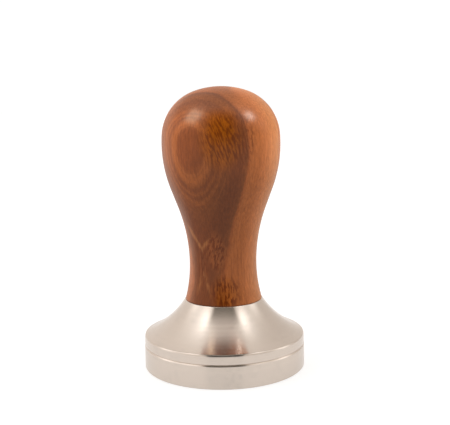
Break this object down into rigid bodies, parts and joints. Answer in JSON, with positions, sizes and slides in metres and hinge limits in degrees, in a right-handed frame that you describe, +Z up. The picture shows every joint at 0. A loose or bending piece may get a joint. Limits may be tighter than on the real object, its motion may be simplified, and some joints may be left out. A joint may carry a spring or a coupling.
{
  "type": "espresso tamper",
  "caption": "Hand tamper with a rounded turned hardwood handle that screws onto a flared, flat-faced steel base sized for an espresso filter basket.",
  "frame": {"origin": "centre of the flat tamping face, on the turning axis", "axes": "+Z up along the turning axis, from the tamping face to the crown of the handle; the object is round, so +X and +Y are free"},
  "size_m": [0.058, 0.058, 0.1004],
  "materials": {
    "turned_steel": "satin turned stainless steel",
    "screw_steel": "plain screw steel",
    "brass": "machined brass",
    "hardwood": "reddish-brown hardwood, turned, oiled and polished"
  },
  "bodies": {
    "base": {"base": "turned_steel"},
    "stud": {"stud": "screw_steel"},
    "handle": {"handle": "hardwood", "threaded_insert": "brass"}
  },
  "joints": [
    {"name": "handle_turn", "type": "hinge", "parent": "base", "child": "stud", "pos_m": [0, 0, 0.0245], "axis": [0, 0, 1], "range_deg": [0, 3600]},
    {"name": "handle_lift", "type": "slide", "parent": "stud", "child": "handle", "axis": [0, 0, 1], "range_m": [0, 0.0125]}
  ],
  "couplings": [
    {"joint": "handle_lift", "follows": "handle_turn", "m_per_rad": 0.00019894}
  ]
}
